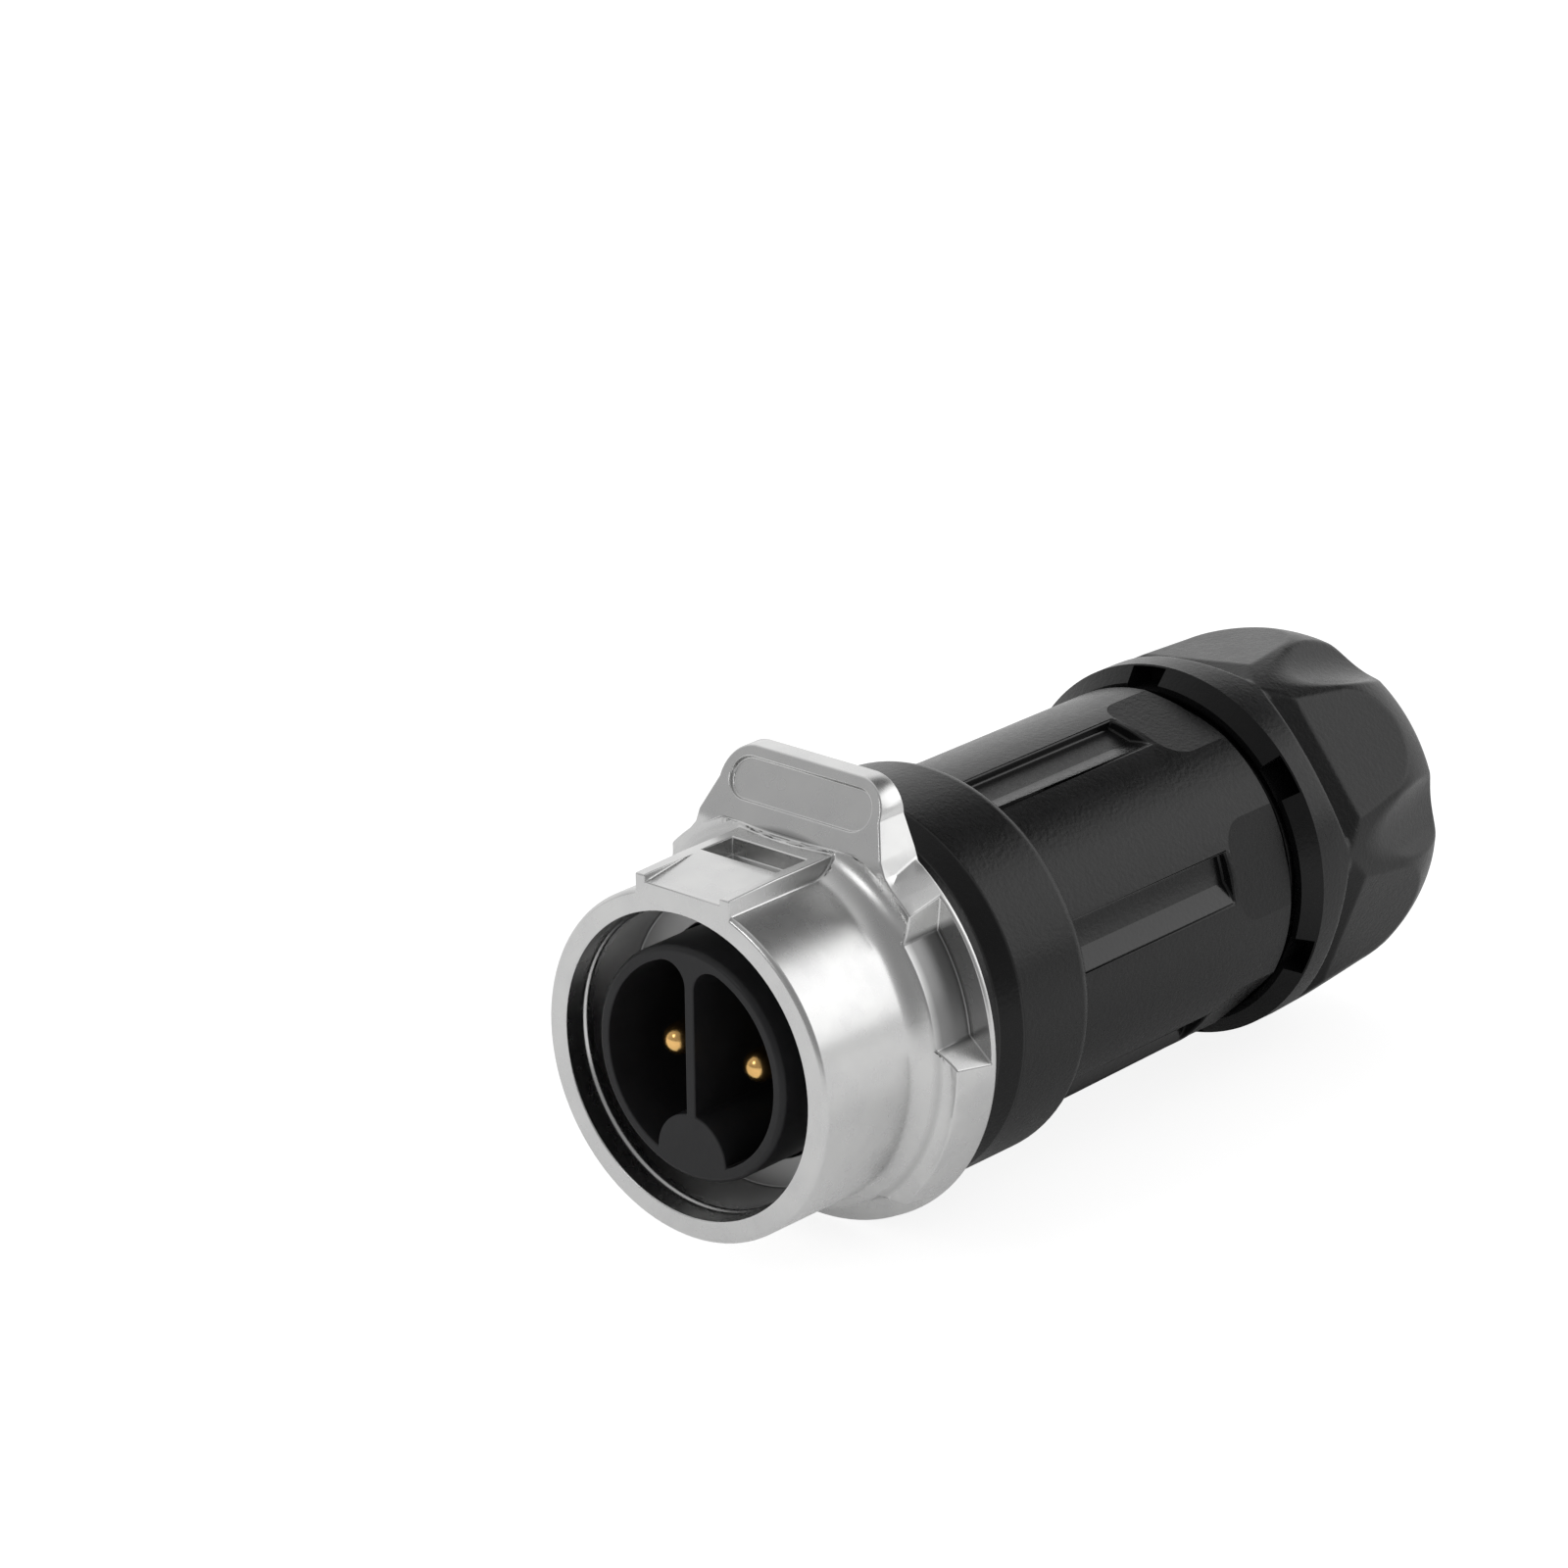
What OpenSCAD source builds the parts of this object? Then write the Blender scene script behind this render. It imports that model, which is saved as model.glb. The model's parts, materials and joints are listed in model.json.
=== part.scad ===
// In-line cable socket of a round waterproof connector, with its gland.
// The axis lies along X: the mating mouth is at x = 0 and the cable leaves towards +X.
// The catch for the plug's latch is on top, at +Z.

/* [Front shell] */
// Outside diameter of the nose
nose_d = 24.5; // [24:0.1:26]
// Diameter of the counterbore behind the lip
lip_bore_d = 21.3; // [20.9:0.1:22]
// Depth of the counterbore behind the lip
lip_depth = 1.6; // [1:0.1:3]
// Diameter of the bore that takes the plug's sleeve
mouth_bore_d = 20.8; // [20:0.1:20.9]
// Length of the shell from the mouth to its rear face
shell_len = 14.1; // [13.8:0.1:16]
// Diameter of the collar at its rear face
collar_d = 30; // [29.6:0.1:33]
// Diameter of the collar at its front edge
collar_front_d = 29; // [28.4:0.1:29.5]
// Distance of the collar's front plane from the mouth
collar_start = 10.5; // [10:0.1:11]
// Thickness of the full rib behind the side notches
rib_t = 0.6; // [0.4:0.1:1.2]
// Thickness of the full rib behind the bottom notch
bottom_rib_t = 1.2; // [0.4:0.1:1.6]
// Diameter of the floor of the collar's notches
notch_d = 26.2; // [25.6:0.1:27]
// Angle of the side notches from the top
side_notch_at = 67.7; // [60:0.1:75]
// Half the angle of a side notch at its floor
side_notch_half = 16; // [10:0.5:18]
// Half the angle of the bottom notch at its floor
bottom_notch_half = 37; // [20:0.5:40]
// Diameter of the thread bore at the rear
shell_thread_d = 24; // [23.6:0.1:24.4]
// Length of the thread bore
shell_thread_len = 3.5; // [3:0.1:4]

/* [Catch and latch pad] */
// Height of the catch wall's top above the axis
catch_top = 17.8; // [17:0.1:21]
// Half width of the catch wall where it leaves the collar
catch_half_w = 7.9; // [7:0.1:9]
// How far the catch wall's front leans back at the top
catch_lean = 2.1; // [0.5:0.1:2.4]
// Radius of the catch wall's upper corners
catch_corner_r = 2.4; // [1:0.1:3]
// Height of the latch pad's top above the axis
pad_top = 12.85; // [12.6:0.05:14]
// Width of the latch pad over its rails
pad_w = 8.2; // [7:0.1:10]
// Width of one rail of the latch pad
rail_w = 0.85; // [0.5:0.05:1.2]
// Length of the ramp between the rails
ramp_len = 4.6; // [2:0.1:5]
// Distance of the latch window from the mouth
window_x = 5.6; // [5.2:0.1:6]
// Length of the latch window along the axis
window_len = 3; // [2:0.1:3.6]
// Depth of the latch window
window_depth = 1.3; // [0.6:0.05:1.4]
// Length of the oval field on the catch wall
field_l = 12.2; // [6:0.1:12.6]
// Height of the oval field on the catch wall
field_h = 2.9; // [2:0.1:3.4]
// Depth of the oval field
field_depth = 0.3; // [0.1:0.05:0.5]

/* [Contact insert] */
// Outside diameter of the insert's front tube
insert_d = 16.4; // [15.6:0.1:17]
// Wall of the insert's front tube
insert_wall = 0.95; // [0.7:0.05:1.4]
// Distance of the insert's front face behind the lip
insert_face = 0.5; // [0.2:0.1:1.2]
// Depth of the contact chambers
chamber_depth = 10; // [6:0.1:11]
// Thickness of the wall between the chambers
web_t = 0.8; // [0.6:0.05:1.6]
// Radius of the chambers' upper corners
chamber_fillet = 1.6; // [0.8:0.1:2]
// Radius of the key at the bottom of the insert
key_r = 3; // [2.4:0.1:3.8]
// Depth of the key's centre below the axis
key_drop = 6.6; // [6.2:0.1:7.2]
// Diameter of the insert's flange
insert_flange_d = 21.4; // [20.9:0.1:21.8]
// Thickness of the insert's flange
insert_flange_t = 1.3; // [1:0.1:1.6]
// Length of the insert behind its flange
insert_tail = 6; // [5:0.1:8]

/* [Contacts] */
// Distance between the two pins
pin_pitch = 7.1; // [6.4:0.1:8]
// Diameter of a pin
pin_d = 2.2; // [1.6:0.1:3]
// Distance of the pin tips behind the lip
pin_tip = 2.3; // [1:0.1:4]
// Diameter of a pin's shank inside the insert
shank_d = 3; // [2.4:0.1:3.6]
// Diameter of a terminal barrel
terminal_d = 5; // [4.6:0.1:6]
// Length of a terminal barrel
terminal_len = 9; // [8:0.1:11]
// Diameter of the wire hole in a terminal
wire_hole_d = 3; // [2:0.1:3.2]
// Depth of the wire hole in a terminal
wire_hole_depth = 7; // [5:0.1:7.4]
// Distance of a terminal screw from the terminal's end
screw_inset = 3; // [2.6:0.1:4]
// Diameter of a terminal screw's shank
screw_d = 2.4; // [2:0.1:2.6]
// Diameter of a terminal screw's head
screw_head_d = 3.8; // [3:0.1:4.4]

/* [Seals and clip] */
// Thickness of the flat gasket behind the shell's web
insert_seal_t = 0.7; // [0.4:0.1:1]
// Thickness of the sprung clip behind the insert
clip_t = 0.75; // [0.5:0.05:0.8]
// Radial width of the clip
clip_w = 1.6; // [1:0.1:2]
// Width of the clip's opening
clip_opening = 4; // [2:0.1:8]
// Thickness of the gasket between shell and flange
body_seal_t = 0.35; // [0.2:0.05:0.6]

/* [Rear body] */
// Diameter of the flange's front band
band_d = 26.4; // [25.8:0.1:27.4]
// Length of the flange's front band
band_len = 1.9; // [1:0.1:3]
// Diameter of the flange
flange_d = 28; // [27.5:0.1:29]
// Length of the flange with its front cone
flange_len = 9.1; // [7:0.1:11]
// Length of the cone between band and flange
flange_cone = 1.6; // [0.8:0.1:2.4]
// Radius of the flange's rear edge
flange_edge_r = 1.3; // [0.6:0.1:1.45]
// Diameter of the barrel
barrel_d = 25; // [24.6:0.1:25.2]
// Distance of the barrel's rear end from the mouth
barrel_end = 49.4; // [48:0.1:52]
// Diameter of the room for the wires
cavity_d = 19.6; // [18:0.1:20]
// Thickness of the wall between the room for the wires and the gland
gland_wall = 2.5; // [1.5:0.1:4]
// Diameter of the neck that carries the gland nut's thread
neck_d = 22.4; // [22:0.1:22.8]
// Length of the neck
neck_len = 8.6; // [7.6:0.1:9]
// Number of grip grooves round the barrel
grooves = 6; // [4:1:6]
// Angle of the first grip groove from the top
groove_at = 14.4; // [0:0.1:60]
// Width of a grip groove
groove_w = 3.6; // [2:0.1:4.4]
// Depth of a grip groove at its steep wall
groove_depth = 0.8; // [0.4:0.05:1.2]
// Length of the thumb flats behind the grooves
flat_len = 6.2; // [4:0.1:8]
// Width of the thumb flats
flat_w = 7.3; // [5:0.1:8]

/* [Gland] */
// Bore of the gland seal, which grips the cable
cable_d = 12; // [9:0.1:12.6]
// Outside diameter of the gland seal
seal_d = 17.6; // [16.6:0.1:17.8]
// Length of the gland seal
seal_len = 10; // [8:0.1:10.2]
// Number of fingers on the claw
fingers = 10; // [6:1:12]
// Width of the gaps between the fingers
finger_gap = 1; // [0.6:0.1:1.6]
// Thickness of a finger
finger_t = 1.2; // [0.8:0.05:1.4]

/* [Gland nut] */
// Gap between the barrel's end and the nut
nut_gap = 0.7; // [0.5:0.1:1.4]
// Length of the nut
nut_len = 18.1; // [17.6:0.1:19.3]
// Diameter of the nut's front ring
ring_d = 27.2; // [26.8:0.1:27.8]
// Length of the nut's front ring
ring_len = 2.9; // [2.4:0.1:3.6]
// Size of the bevel on the front ring
ring_bevel = 1.1; // [0.6:0.05:1.2]
// Diameter over the nut's lobes, where the dome begins
lobe_d = 26.6; // [26.4:0.1:26.8]
// Distance of the flats from the axis
facet_r = 12.5; // [12.3:0.05:12.7]
// Distance of the flats' front edge behind the ring
facet_lead = 3.3; // [2.8:0.1:3.6]
// Distance from the flats' front edge to the start of the dome
dome_lead = 4.2; // [3.4:0.1:4.8]
// Angle of the first flat from the top
facet_at = -8; // [-30:0.5:30]
// Radius of the valleys between the flats
valley_r = 6; // [4:0.1:7]
// Slope of the valleys towards the rear, in degrees
valley_slope = 14.5; // [10:0.5:16]
// Width of the pockets in the ring's face
pocket_w = 2.9; // [2:0.1:3.4]
// Angle of the first pocket from the top
pocket_at = -8; // [-30:0.5:30]
// Thickness of the nut's rear wall
nut_wall = 2.4; // [2:0.1:3]
// Diameter of the cable hole in the nut
nut_hole_d = 13.8; // [13:0.1:14.4]

/* [Fits] */
// Radial play in the plain thread fits
thread_play = 0.05; // [0.02:0.01:0.1]
// Radial play where one piece is pushed into another
push_play = 0.15; // [0.1:0.01:0.25]
// Gap left between flat faces that come to rest near each other
seat_gap = 0.05; // [0.02:0.01:0.1]
// Radial play between the claw's fingers and the nut's cone
claw_play = 0.3; // [0.2:0.05:0.4]

/* [Hidden] */
$fn = 96;
eps = 0.01;
reach = 40;
lobes = 6;

nose_r = nose_d / 2;
collar_r = collar_d / 2;
collar_front_r = collar_front_d / 2;
rim_fillet = collar_front_r - nose_r;
lip_edge = 0.25;
insert_r = insert_d / 2;
flange_bore_r = insert_flange_d / 2 + push_play;
web_hole_r = insert_r + push_play;

// Stations along the axis, counted from the mouth
thread_x = shell_len - shell_thread_len;
clip_x = thread_x - 0.2 - clip_t;
insert_flange_x = clip_x - seat_gap - insert_flange_t;
insert_seal_x = insert_flange_x - insert_seal_t;
web_x = insert_seal_x - 1.2;
chamber_floor = insert_face + chamber_depth;
insert_end = insert_flange_x + insert_flange_t + insert_tail;
terminal_x = insert_end + seat_gap;
terminal_end = terminal_x + terminal_len;
screw_x = terminal_end - screw_inset;
body_x = shell_len + body_seal_t;
flange_end = body_x + band_len + flange_len;
spigot_x = thread_x + 0.15;
groove_end = barrel_end - flat_len - 0.5;
neck_end = barrel_end + neck_len;
seal_x = barrel_end + 0.1;
seal_end = seal_x + seal_len;
claw_x = neck_end + seat_gap;
claw_base = 1.5;
finger_x = claw_x + claw_base;
nut_x = barrel_end + nut_gap;
nut_end = nut_x + nut_len;
ring_end = nut_x + ring_len;
facet_x = ring_end + facet_lead;
valley_x = facet_x + 1.7;
dome_x = facet_x + dome_lead;
dome_r = 21;
nut_edge_r = 2.8;
nut_thread_end = neck_end + 0.5;
cone_x = finger_x + 0.4;
cone_end = nut_end - nut_wall;
cone_wide_r = neck_d / 2 - 0.45;
cone_tight_r = nut_hole_d / 2 + 0.7;
function cone_r(x) = cone_wide_r + (cone_tight_r - cone_wide_r) * (x - cone_x) / (cone_end - cone_x);

// Solids about the connector's axis; a profile is drawn as [radius, station]
module turned() { rotate([0, 90, 0]) rotate_extrude() children(); }
module rod(r, x0, x1) { translate([x0, 0, 0]) rotate([0, 90, 0]) cylinder(r = r, h = x1 - x0); }
module tube(r_in, r_out, x0, x1) {
    difference() {
        rod(r_out, x0, x1);
        rod(r_in, x0 - eps, x1 + eps);
    }
}

// An outline in Y and Z drawn out along X, and one in X and Z drawn out along Y
module along_x(x0, x1) { translate([x0, 0, 0]) rotate([90, 0, 90]) linear_extrude(x1 - x0) children(); }
module along_y(w) { rotate([90, 0, 0]) linear_extrude(w, center = true) children(); }

// Copies round the axis; a turn of a goes from the top towards -Y
module around(n, first = 0) { for (i = [0:n - 1]) rotate([first + i * 360 / n, 0, 0]) children(); }

// Front shell: zinc casting
module shell_profile() {
    difference() {
        polygon([[0, 0], [nose_r - lip_edge, 0], [nose_r, lip_edge], [nose_r, collar_start - rim_fillet],
                 [collar_front_r, collar_start - rim_fillet], [collar_front_r, collar_start],
                 [collar_r, shell_len - lip_edge], [collar_r - lip_edge, shell_len], [0, shell_len]]);
        translate([collar_front_r, collar_start - rim_fillet]) circle(rim_fillet);
    }
}

module collar_notch(half, rib) {
    floor_r = notch_d / 2;
    flare = 5.5;
    a = [floor_r * sin(half), floor_r * cos(half)];
    b = [collar_front_r * sin(half + flare), collar_front_r * cos(half + flare)];
    far = b + (b - a);
    difference() {
        along_x(collar_start - rim_fillet, shell_len - rib)
            polygon([a, far, [far.x, reach], [-far.x, reach], [-far.x, far.y], [-a.x, a.y]]);
        rod(floor_r, 0, shell_len);
    }
}

module catch_outline() {
    root_w = catch_half_w + 1;
    bend_w = catch_half_w + 0.4;
    top_w = catch_half_w - 0.9;
    root_z = sqrt(pow(collar_front_r, 2) - pow(root_w, 2));
    bend_z = root_z + 0.7;
    waist_z = pad_top + 0.45;
    shoulder = catch_top - catch_corner_r;
    corner_y = top_w - catch_corner_r;
    polygon([[root_w, root_z - 1], [root_w, root_z], [bend_w, bend_z], [catch_half_w, waist_z],
             [top_w, shoulder], [-top_w, shoulder],
             [-catch_half_w, waist_z], [-bend_w, bend_z], [-root_w, root_z], [-root_w, root_z - 1]]);
    translate([-corner_y, shoulder]) square([2 * corner_y, catch_corner_r]);
    for (s = [-1, 1]) translate([s * corner_y, shoulder]) circle(catch_corner_r);
}

// What is cut from collar and wall: the leaning front and the oval field on it
module catch_front() {
    lean_from = pad_top + 0.3;
    rise = catch_top - lean_from;
    field_at = 0.56;
    top_x = collar_start + catch_lean;
    along_y(2 * collar_r)
        polygon([[0, lean_from], [collar_start, lean_from], [top_x, catch_top], [top_x, reach], [0, reach]]);
    translate([collar_start, 0, lean_from])
        rotate([0, atan2(catch_lean, rise), 0])
        translate([0, 0, field_at * norm([catch_lean, rise])])
        rotate([90, 0, 90]) linear_extrude(2 * field_depth, center = true) oval(field_l, field_h);
}

module oval(l, h) {
    square([l - h, h], center = true);
    for (s = [-1, 1]) translate([s * (l - h) / 2, 0]) circle(d = h);
}

module latch_pad() {
    foot = nose_r - 1;
    rail_drop = 0.15;
    ramp_start = 0.6;
    pad_end = collar_start + 1;
    rail_y = (pad_w - rail_w) / 2;
    intersection() {
        along_y(pad_w)
            polygon([[0, foot], [0, pad_top - rail_drop], [ramp_len, pad_top], [pad_end, pad_top],
                     [pad_end, foot]]);
        union() {
            along_x(0, pad_end) for (s = [-1, 1])
                translate([s * rail_y - rail_w / 2, foot]) square([rail_w, reach]);
            along_y(pad_w - rail_w)
                polygon([[0, foot], [0, nose_r], [ramp_start, nose_r], [ramp_len, pad_top],
                         [pad_end, pad_top], [pad_end, foot]]);
        }
    }
}

module front_shell() {
    window_w = pad_w - 2 * rail_w;
    color("#b9bcc0") difference() {
        union() {
            difference() {
                union() {
                    turned() shell_profile();
                    along_x(collar_start, shell_len) catch_outline();
                }
                catch_front();
            }
            latch_pad();
        }
        for (s = [-1, 1]) rotate([s * side_notch_at, 0, 0]) collar_notch(side_notch_half, rib_t);
        rotate([180, 0, 0]) collar_notch(bottom_notch_half, bottom_rib_t);
        translate([window_x, -window_w / 2, pad_top - window_depth]) cube([window_len, window_w, reach]);
        turned() polygon([[0, -eps], [lip_bore_d / 2, -eps], [lip_bore_d / 2, lip_depth],
                          [mouth_bore_d / 2, lip_depth + (lip_bore_d - mouth_bore_d) / 2],
                          [mouth_bore_d / 2, web_x], [0, web_x]]);
        rod(web_hole_r, web_x - eps, insert_seal_x + eps);
        rod(flange_bore_r, insert_seal_x, thread_x + eps);
        rod(flange_bore_r + clip_w / 2, clip_x, clip_x + clip_t + seat_gap);
        rod(shell_thread_d / 2, thread_x, shell_len + eps);
    }
}

// Contact insert: two chambers, one pin in each
module chamber_corner(r, fillet) {
    c = [web_t / 2 + fillet, sqrt(pow(r - fillet, 2) - pow(web_t / 2 + fillet, 2))];
    difference() {
        polygon([c, [web_t / 2, c.y], [web_t / 2, r], [c.x * r / norm(c), r], c * r / norm(c)]);
        translate(c) circle(fillet);
    }
}

module chambers() {
    r = insert_r - insert_wall;
    difference() {
        circle(r);
        square([web_t, 2 * insert_d], center = true);
        translate([0, -key_drop]) circle(key_r);
        for (s = [0, 1]) mirror([s, 0]) chamber_corner(r, chamber_fillet);
    }
}

module contact_insert() {
    edge = 0.3;
    color("#2b2c2e") difference() {
        union() {
            turned()
                polygon([[0, insert_face], [insert_r - edge, insert_face], [insert_r, insert_face + edge],
                         [insert_r, insert_end], [0, insert_end]]);
            rod(insert_flange_d / 2, insert_flange_x, insert_flange_x + insert_flange_t);
        }
        along_x(insert_face - eps, chamber_floor) chambers();
        for (s = [-1, 1]) translate([0, s * pin_pitch / 2, 0])
            rod(shank_d / 2 + thread_play, chamber_floor - eps, insert_end + eps);
    }
}

// Contacts: a round-nosed pin with a screw terminal behind
module contact_pin(side) {
    r = pin_d / 2;
    color("#c9a14a") translate([0, side * pin_pitch / 2, 0]) difference() {
        union() {
            translate([pin_tip + r, 0, 0]) sphere(r, $fn = 48);
            rod(r, pin_tip + r, chamber_floor + eps);
            rod(shank_d / 2, chamber_floor, terminal_x + 1);
            rod(terminal_d / 2, terminal_x, terminal_end);
        }
        rod(wire_hole_d / 2, terminal_end - wire_hole_depth, terminal_end + eps);
        translate([screw_x, 0, 0]) cylinder(d = screw_d + 2 * thread_play, h = terminal_d);
    }
}

module contact_pin_left() { contact_pin(1); }
module contact_pin_right() { contact_pin(-1); }

module terminal_screw(side) {
    head_z = terminal_d / 2 + seat_gap;
    tip_z = wire_hole_d / 2 + seat_gap;
    head_h = 1.4;
    color("#b08d57") translate([screw_x, side * pin_pitch / 2, 0]) difference() {
        union() {
            translate([0, 0, tip_z]) cylinder(d = screw_d, h = head_z - tip_z + eps);
            translate([0, 0, head_z]) cylinder(d = screw_head_d, h = head_h);
        }
        translate([0, 0, head_z + head_h]) cube([0.7, 2 * screw_head_d, 1.4], center = true);
    }
}

module terminal_screw_left() { terminal_screw(1); }
module terminal_screw_right() { terminal_screw(-1); }

// Seals and clip
module insert_seal() {
    color("#3a3a3c") tube(web_hole_r, insert_flange_d / 2, insert_seal_x, insert_flange_x);
}

module insert_clip() {
    r = flange_bore_r + clip_w / 2 - push_play;
    color("#8a8d90") difference() {
        tube(r - clip_w, r, clip_x + seat_gap / 2, clip_x + clip_t);
        translate([clip_x - eps, -clip_opening / 2, -reach]) cube([clip_t + 2 * eps, clip_opening, reach]);
    }
}

module body_seal() {
    color("#161617") tube(shell_thread_d / 2, band_d / 2 - 0.1, shell_len, body_x);
}

// Rear body: nylon barrel with flange, grip grooves and neck
module body_profile() {
    spigot_r = shell_thread_d / 2 - thread_play;
    cone_end_x = body_x + band_len + flange_cone;
    round_x = flange_end - flange_edge_r;
    barrel_r = barrel_d / 2;
    edge = 0.5;
    difference() {
        union() {
            polygon([[0, spigot_x], [spigot_r, spigot_x], [spigot_r, body_x], [band_d / 2, body_x],
                     [band_d / 2, body_x + band_len], [flange_d / 2, cone_end_x], [flange_d / 2, round_x],
                     [flange_d / 2 - flange_edge_r, round_x], [flange_d / 2 - flange_edge_r, flange_end],
                     [barrel_r, flange_end], [barrel_r, barrel_end - edge], [barrel_r - edge, barrel_end],
                     [neck_d / 2, barrel_end], [neck_d / 2, neck_end - edge], [neck_d / 2 - edge, neck_end],
                     [0, neck_end]]);
            translate([flange_d / 2 - flange_edge_r, round_x]) circle(flange_edge_r);
        }
        square([cavity_d / 2, barrel_end - gland_wall]);
        square([cable_d / 2 + 0.8, neck_end + eps]);
        translate([0, barrel_end]) square([seal_d / 2 + push_play, neck_len + eps]);
    }
}

// A groove has a steep wall, a floor and a long slope up to the barrel's face
module grip_groove() {
    r = barrel_d / 2;
    half = groove_w / 2;
    along_x(flange_end - eps, groove_end)
        polygon([[half, r + 1], [half, r - groove_depth], [half - 1.5, r - groove_depth],
                 [-half, sqrt(r * r - half * half)], [-half, r + 1]]);
}

module thumb_flat() {
    corner = 2.2;
    floor_z = sqrt(pow(barrel_d / 2, 2) - pow(flat_w / 2, 2));
    x = barrel_end - flat_len;
    translate([0, 0, floor_z]) linear_extrude(reach) {
        translate([x + corner, -flat_w / 2]) square([flat_len, flat_w]);
        translate([x, -flat_w / 2 + corner]) square([flat_len, flat_w - 2 * corner]);
        for (s = [-1, 1]) translate([x + corner, s * (flat_w / 2 - corner)]) circle(corner);
    }
}

module rear_body() {
    color("#1d1d1f") difference() {
        turned() body_profile();
        around(grooves, groove_at) grip_groove();
        around(grooves, groove_at) intersection() {
            thumb_flat();
            rod(reach, 0, barrel_end);
        }
    }
}

// Gland: claw and seal, which the nut squeezes on the cable
module gland_claw() {
    base_in = seal_d / 2 + push_play;
    base_out = neck_d / 2 - 0.6;
    tip_x = cone_end - 0.8;
    tip_r = cone_r(tip_x) - claw_play;
    color("#26272a") difference() {
        turned() polygon([[base_in, claw_x], [base_out, claw_x], [base_out, finger_x],
                          [cone_r(cone_x) - claw_play, cone_x], [tip_r, tip_x], [tip_r - finger_t, tip_x],
                          [base_in, finger_x + 0.6]]);
        around(fingers) translate([finger_x, -finger_gap / 2, 0]) cube([reach, finger_gap, reach]);
    }
}

module gland_seal() {
    r_in = cable_d / 2;
    r_out = seal_d / 2;
    edge = 0.6;
    color("#303133") turned()
        polygon([[r_in, seal_x], [r_out - edge, seal_x], [r_out, seal_x + edge], [r_out, seal_end - edge],
                 [r_out - edge, seal_end], [r_in + edge, seal_end], [r_in, seal_end - edge]]);
}

// Gland nut: a domed blank, six flats, six valleys and six pockets
module nut_blank() {
    lobe_r = lobe_d / 2;
    ring_r = ring_d / 2;
    dome_c = [lobe_r - dome_r, dome_x];
    edge_x = nut_end - nut_edge_r;
    edge_c = [dome_c.x + sqrt(pow(dome_r - nut_edge_r, 2) - pow(edge_x - dome_x, 2)), edge_x];
    beyond = dome_c + (edge_c - dome_c) / (dome_r - nut_edge_r) * (dome_r + 1);
    polygon([[0, nut_x], [ring_r - ring_bevel, nut_x], [ring_r, nut_x + ring_bevel], [ring_r, ring_end],
             [lobe_r, dome_x], [0, dome_x]]);
    intersection() {
        translate(dome_c) circle(dome_r);
        polygon([[0, dome_x], [lobe_r + 1, dome_x], beyond, edge_c, [edge_c.x, nut_end], [0, nut_end]]);
    }
    translate(edge_c) circle(nut_edge_r);
}

// A flat ends in front at a straight ridge, from which a ramp runs down to the ring
module nut_flat() {
    slope_len = 1.8;
    foot = facet_r - 0.6;
    half_w = foot * tan(180 / lobes) - 0.2;
    along_y(2 * half_w)
        polygon([[ring_end, foot], [facet_x - slope_len, foot], [facet_x, facet_r],
                 [nut_end + eps, facet_r], [nut_end + eps, reach], [ring_end, reach]]);
}

module nut_valley() {
    translate([valley_x, 0, lobe_d / 2]) rotate([0, valley_slope, 0]) translate([0, 0, valley_r])
        rotate([0, 90, 0]) cylinder(r = valley_r, h = 2 * nut_len, center = true);
}

module nut_pocket() {
    inner = neck_d / 2 + 0.8;
    outer = ring_d / 2 - 0.35;
    translate([nut_x - eps, -pocket_w / 2, inner]) cube([ring_len - 0.2, pocket_w, outer - inner]);
}

module gland_nut() {
    thread_r = neck_d / 2 + thread_play;
    mouth = 0.8;
    color("#1a1a1c") difference() {
        turned() nut_blank();
        around(lobes, facet_at) nut_flat();
        around(lobes, facet_at + 180 / lobes) nut_valley();
        around(lobes, pocket_at) nut_pocket();
        turned()
            polygon([[0, nut_x - eps], [thread_r + mouth, nut_x - eps], [thread_r + mouth, nut_x],
                     [thread_r, nut_x + mouth], [thread_r, nut_thread_end], [cone_wide_r, nut_thread_end],
                     [cone_wide_r, cone_x], [cone_tight_r, cone_end], [nut_hole_d / 2, cone_end],
                     [nut_hole_d / 2, nut_end + eps], [0, nut_end + eps]]);
    }
}

front_shell();
contact_insert();
contact_pin_left();
contact_pin_right();
terminal_screw_left();
terminal_screw_right();
insert_seal();
insert_clip();
body_seal();
rear_body();
gland_claw();
gland_seal();
gland_nut();
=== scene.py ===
"""Finishes, softened edges and studio of an in-line cable socket with its gland."""

import json
import math

import bmesh
import bpy
from bpy.props import FloatProperty, FloatVectorProperty, IntProperty, PointerProperty
from mathutils import Matrix, Vector
from mathutils.bvhtree import BVHTree


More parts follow.
